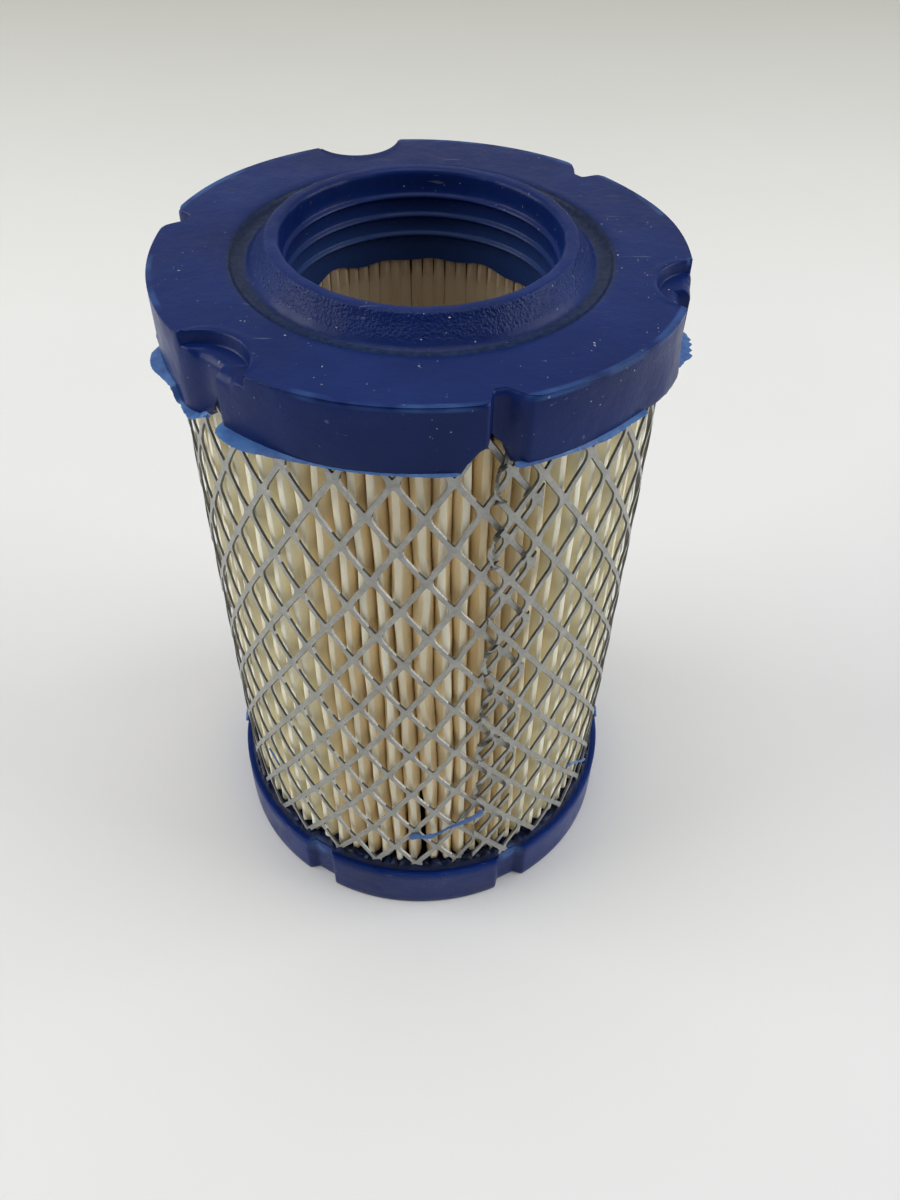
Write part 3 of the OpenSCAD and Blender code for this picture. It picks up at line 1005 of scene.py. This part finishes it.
def crimp_knots():
    """Cut knuckles at the lap that are squashed and twisted round the sheet below."""
    rng = np.random.default_rng(SEED + 31)
    steps, sides = 18, len(CRIMP_SECTION)
    for k, (z, size) in enumerate(CRIMPS):
        t = np.linspace(-1, 1, steps)
        height = z + 3.3 * size * t
        az = CRIMP_AZ - 1.55 * (1 - t**2) + rng.normal(0, 0.10, steps)
        lift = SCREEN_R + 0.05 + 0.42 * (1 - t**2) * size + rng.normal(0, 0.06, steps)
        roll = np.cumsum(rng.normal(0.10, 0.22, steps)) + rng.uniform(-0.6, 0.6)
        width = 0.52 * (0.8 + 0.35 * np.sin(t * 5 + k)) + 0.25 * t**4
        columns = []
        for x, y in CRIMP_SECTION:
            a = width * x + rng.normal(0, 0.05, steps)
            across = a * np.cos(roll) - y * np.sin(roll)
            out = np.clip(a * np.sin(roll) + y * np.cos(roll), -0.45, 0.9)
            columns.append(polar(lift + out, az + np.degrees(across / SCREEN_R), height))
        faces = grid_faces(sides, steps, True, False)
        faces.append([c * steps for c in range(sides)][::-1])
        faces.append([c * steps + steps - 1 for c in range(sides)])
        places = [divmod(f, steps - 1) for f in range(len(faces))]
        # Painted shade: the knots' faces on one side and at their ends get the dark cut-edge colour
        marks = [int(c % sides in (3, 4) or r in (0, 1, steps - 3, steps - 2)) for c, r in places]
        piece = mesh_object(f"screen_crimp_{k + 1}", np.concatenate(columns), faces,
                            [ZINC, CUT_DARK_AND_SHADE], marks)


# How far the dark lumps of painted shadow stand off the screen, and each one's (bearing, height, size)
SHADOW_LUMP_OUT = 0.34
LAP_SHADOW_LUMPS = [(15.8, 117.2, 0.85), (15.3, 111.6, 0.75), (21.3, 111.9, 0.5), (16.1, 105.5, 0.8),
             (15.4, 99.5, 0.7), (22.4, 99.2, 0.45), (22.8, 87.0, 0.45), (16.9, 80.4, 0.75),
             (15.5, 73.9, 0.6), (22.6, 74.6, 0.4), (17.0, 68.4, 0.4), (17.6, 54.6, 0.65)]


def lap_shadow_lumps():
    """Dark lumps of painted shadow where the lap's lower strands are bent under its upper ones."""
    rng = np.random.default_rng(SEED + 90)
    turns = np.linspace(0, 2 * math.pi, 12, endpoint=False)[:, None]
    rise = np.radians(np.linspace(80, -80, 5))
    lean = math.radians(50)
    for k, (az, z, size) in enumerate(LAP_SHADOW_LUMPS):
        reach = size * rng.uniform(0.45, 1.15, (12, 1)) * np.cos(rise)
        along, across = 1.35 * reach * np.cos(turns), 0.6 * reach * np.sin(turns)
        u = along * math.cos(lean) - across * math.sin(lean)
        v = along * math.sin(lean) + across * math.cos(lean)
        out = 0.26 * size * np.sin(rise) + 0 * u
        columns = polar(SCREEN_R + SHADOW_LUMP_OUT + out, az + np.degrees(u / SCREEN_R), z + v)
        piece = disc_piece(f"screen_shadow_lump_{k + 1}", columns, LAP_SHADE)


# ---- flash


FIN_Z = CAP_LOW_Z + 0.02
FIN_ROOT_R = CAP_R - 0.5
# Outer edges of the fins of flash, as (bearing, radius)
HOOK = [(-59, 41.0), (-58, 41.25), (-56.3, 41.6), (-54.7, 41.85), (-53, 41.95), (-51.5, 41.9),
        (-49.8, 41.8), (-48.1, 41.6), (-47, 41.2), (-46.2, 40.8)]
HOOK_ROOT = [(az, FIN_ROOT_R) for az, _ in HOOK[:6]] + [
    (-49.8, 40.6), (-48.1, 40.7), (-47, 40.75), (-46.2, 40.7)]
FINS = {
    "tongue": [(-75.6, 41.0), (-75, 41.4), (-73.3, 42.2), (-71.2, 42.7), (-69, 42.95),
               (-66.8, 42.8), (-64.8, 42.3), (-62.8, 42.0), (-60.5, 41.85), (-58.3, 41.8),
               (-56.8, 41.1)],
    "left": [(-42.7, 40.9), (-42.6, 41.8), (-41.6, 42.6), (-39.9, 43.0), (-37.2, 43.3),
             (-34.4, 43.2), (-30.7, 42.4), (-26.8, 41.8), (-22, 41.25), (-15, 41.1), (-8, 41.1),
             (-2, 41.15), (3, 41.4), (6, 41.35), (7.2, 40.95)],
    "right": [(17.6, 40.9), (18.6, 41.4), (24, 41.2), (30, 41.15), (34, 41.25), (38.2, 41.65),
              (44.5, 41.5), (49.3, 41.8), (50.2, 41.7), (50.7, 40.9)],
    "torn": [(67, 41.0), (68.7, 41.6), (71.2, 41.9), (72.6, 42.5), (74, 42.9), (74.8, 42.2),
             (75.8, 42.7), (76.6, 42.1), (77.8, 42.6), (78.6, 42.0), (79.6, 42.4), (81, 41.8),
             (81.9, 41.8), (83.5, 41.0)],
    "back": [(84, 41.0), (92, 41.4), (104, 41.3), (118, 41.6), (127, 41.3), (128, 41.0)],
    "far": [(138, 41.0), (150, 41.4), (166, 41.3), (179, 41.7), (188, 41.4), (192, 41.0)],
    "left_back": [(198, 41.0), (206, 41.5), (222, 41.3), (238, 41.6), (246, 41.2), (247, 41.0)],
    "side": [(258, 41.0), (264, 41.5), (272, 41.3), (280, 41.4), (284, 41.0)],
}


def fin(name, outer, inner, seed):
    """A thin fin of flash between two lines of (bearing, radius) points at the cap's foot."""
    rng = np.random.default_rng(SEED + 50 + seed)
    t = np.linspace(0, 1, 12 * len(outer))
    lines = []
    for points in (outer, inner):
        at = np.linspace(0, 1, len(points))
        az, r = (np.interp(t, at, c) for c in np.array(points, float).T)
        soft = np.array([1.0, 2.0, 3.0, 2.0, 1.0]) / 9
        az, r = (np.convolve(np.pad(c, 2, "edge"), soft, "valid") for c in (az, r))
        lines.append((az, r))
    (az_out, r_out), (az_in, r_in) = lines
    r_out = np.maximum(r_out + rng.normal(0, 0.035, len(t)), r_in + 0.02)
    s = np.linspace(0, 1, 6)
    r = r_in[:, None] + (r_out - r_in)[:, None] * s
    az = az_in[:, None] + (az_out - az_in)[:, None] * s
    droop = 0.35 + 0.12 * np.sin(t * 9 + seed)
    z = FIN_Z - droop[:, None] * s**1.4 - hanging(az)
    half = 0.16 * (1 - 0.7 * s)
    piece = slab(name, polar(r, az, z + half), polar(r, az, z - half), FLASH)


def flashes():
    """The fins of flash at the foot of the open cap, where the mould's halves met."""
    fin("flash_hook", HOOK, HOOK_ROOT, 1)
    for seed, (name, outline) in enumerate(FINS.items(), 2):
        fin("flash_" + name, outline, [(az, FIN_ROOT_R) for az, _ in outline], seed)


def on_screen(az):
    """The radius at which a smear lies on the screen."""
    return SCREEN_R + 0.10 + 0 * az


def on_base(az):
    """The radius at which a smear lies on the closed cap's side."""
    return BASE_R - 0.06 - (BASE_R - GROOVE_R) * base_share(az)


def drip(name, points, seed, surface=on_screen, thickness=0.22):
    """A smear of set polyurethane: (bearing, height, half width) points on a surface."""
    az_in, z_in, w_in = (np.array(c, float) for c in zip(*points))
    t = np.linspace(0, len(points) - 1, 44)
    k = np.arange(len(points))
    az, z, w = (np.interp(t, k, c) for c in (az_in, z_in, w_in))
    rng = np.random.default_rng(SEED + 70 + seed)
    w = w * (1 + 0.25 * np.interp(t, np.linspace(0, t[-1], 12), rng.normal(0, 1, 12)))
    s = np.linspace(-1, 1, 7)
    heights = z[:, None] + w[:, None] * s
    spread = az[:, None] + 0 * heights
    radius = surface(spread)
    dome = np.sqrt(np.clip(1 - (s * 0.97) ** 2, 0, 1)) * thickness
    outer = polar(radius + dome, spread, heights)
    inner = polar(radius - 0.05 - 0.3 * dome, spread, heights)
    piece = slab(name, outer, inner, FLASH)


# Centre lines of the smears, as (bearing, height, half width)
SMEARS = {
    "smear_front": [(-3.9, 24.4, 0.3), (-3.3, 24.5, 0.9), (-1.6, 24.9, 1.1), (0.3, 24.5, 0.7),
                    (1.6, 24.8, 0.9), (3.0, 24.9, 0.7), (5.2, 26.0, 0.45), (7.2, 27.4, 0.35),
                    (10.8, 28.4, 0.45), (13.7, 29.2, 0.6), (15.4, 30.0, 0.95), (16.8, 30.6, 1.1),
                    (17.5, 30.8, 0.4)],
    "smear_right": [(49.2, 29.1, 0.15), (50.6, 28.5, 0.4), (53.0, 27.2, 0.3), (55.4, 25.7, 0.5),
                    (58.0, 23.7, 0.3), (61.0, 21.4, 0.4), (63.8, 19.3, 0.55), (65.2, 18.4, 0.2)],
    "smear_left": [(-51.4, 34.2, 0.15), (-50.2, 33.6, 0.4), (-48.6, 32.4, 0.5), (-47.2, 31.6, 0.2)],
}
FLECK_LEFT = [(-95.2, 11.3, 0.15), (-94.0, 11.7, 0.5), (-92.4, 12.3, 0.9), (-91.0, 11.9, 0.6),
              (-89.6, 11.3, 0.15)]
FLECK_RIGHT = [(90.6, 11.3, 0.15), (91.8, 11.9, 0.5), (93.0, 12.5, 0.8), (94.2, 11.8, 0.5),
               (95.4, 11.3, 0.15)]


def drips():
    """The strings, spots and flecks of set polyurethane low on the screen and on the base."""
    for seed, (name, points) in enumerate(SMEARS.items(), 1):
        drip(name, points, seed)
    drip("fleck_left", FLECK_LEFT, 6, on_base, 0.5)
    drip("fleck_right", FLECK_RIGHT, 7, on_base, 0.45)


# ---- scene


FLOOR_HALF = 6.0
LIT_POINT = (0, 0, 0.07)


def floor_card():
    """Plain matte card: pale grey with a painted lighter band, then painted shade that makes it dimmer
    and slightly warmer far behind.
    """
    m, tree, shader = new_material("pale_card")
    # Painted light and shade: a lighter band, then dimmer far behind
    behind = zone(tree, measures(tree), (("y", 50, 650),))
    tone = ramp(tree, behind, [(0.0, (0.77, 0.77, 0.77)), (0.25, (0.80, 0.80, 0.78)),
                               (1.0, (0.64, 0.63, 0.57))])
    cloud = noise(tree, 9, 3)
    tone = mix(tree, 0.10, tone, ramp(tree, cloud, [(0.3, 0.8), (0.7, 1.0)]), "MULTIPLY")
    paint(tree, shader, tone, 0.65, 0.2)
    return m


def stage():
    """A wide plain floor at the height that the cartridge stands on."""
    half, low = FLOOR_HALF, float(CAD_BOX[0][2])
    mesh = bpy.data.meshes.new("floor")
    mesh.from_pydata([(-half, -half, low), (half, -half, low), (half, half, low), (-half, half, low)],
                     [], [(0, 1, 2, 3)])
    mesh.materials.append(floor_card())
    add_object("floor", mesh)


def area_light(name, spot, size, power, colour):
    """A soft square light that faces the middle of the cartridge."""
    data = bpy.data.lights.new(name, "AREA")
    data.shape = "SQUARE"
    data.size = size
    data.energy = power
    data.color = colour
    thing = add_object(name, data)
    thing.location = spot
    way = Vector(LIT_POINT) - Vector(spot)
    thing.rotation_mode = "QUATERNION"
    thing.rotation_quaternion = way.to_track_quat("-Z", "Y")


def lighting():
    """Plain soft studio light: a pale surround, dim in front, and broad lights above and at the sides.
    """
    world = bpy.data.worlds.new("studio")
    bpy.context.scene.world = world
    world.use_nodes = True
    tree = world.node_tree
    background = tree.nodes["Background"]
    parts = tree.nodes.new("ShaderNodeSeparateXYZ")
    tree.links.new(tree.nodes.new("ShaderNodeTexCoord").outputs["Generated"], parts.inputs[0])
    ahead = span(tree, parts.outputs["Y"], -0.8, 0.1)
    tone = ramp(tree, ahead, [(0.0, (0.25, 0.26, 0.275)), (1.0, (0.98, 0.99, 1.0))])
    tree.links.new(tone, background.inputs["Color"])
    background.inputs["Strength"].default_value = 0.485
    area_light("overhead", (0.0, -0.02, 1.2), 0.9, 4.7, (1.0, 0.99, 0.97))
    area_light("right", (0.95, -0.05, 0.55), 0.7, 5.6, (0.98, 0.99, 1.0))
    area_light("left", (-0.95, -0.05, 0.55), 0.7, 6.0, (1.0, 0.995, 0.98))


CAMERA_PLACE = (0.0, -0.143551, 0.202055)
CAMERA_FORWARD = (0.027627, 0.690663, -0.722649)
CAMERA_UP = (0.000724, 0.722911, 0.690941)
CAMERA_LENS = 30.08


def camera():
    """The camera at the photograph's viewing angle."""
    data = bpy.data.cameras.new("camera")
    data.lens = CAMERA_LENS
    data.sensor_width = 36.0
    data.clip_start = 0.01
    data.clip_end = 20.0
    thing = add_object("camera", data)
    forward = Vector(CAMERA_FORWARD).normalized()
    up = Vector(CAMERA_UP)
    right = forward.cross(up).normalized()
    up = right.cross(forward)
    rotation = Matrix((right, up, -forward)).transposed()
    thing.matrix_world = Matrix.Translation(CAMERA_PLACE) @ rotation.to_4x4()
    bpy.context.scene.camera = thing


open_cap()
closed_cap()
paper()
paper_seam()
screen()
crimp_knots()
lap_shadow_lumps()
flashes()
drips()
stage()
lighting()
camera()
bpy.context.scene.view_settings.view_transform = "Standard"
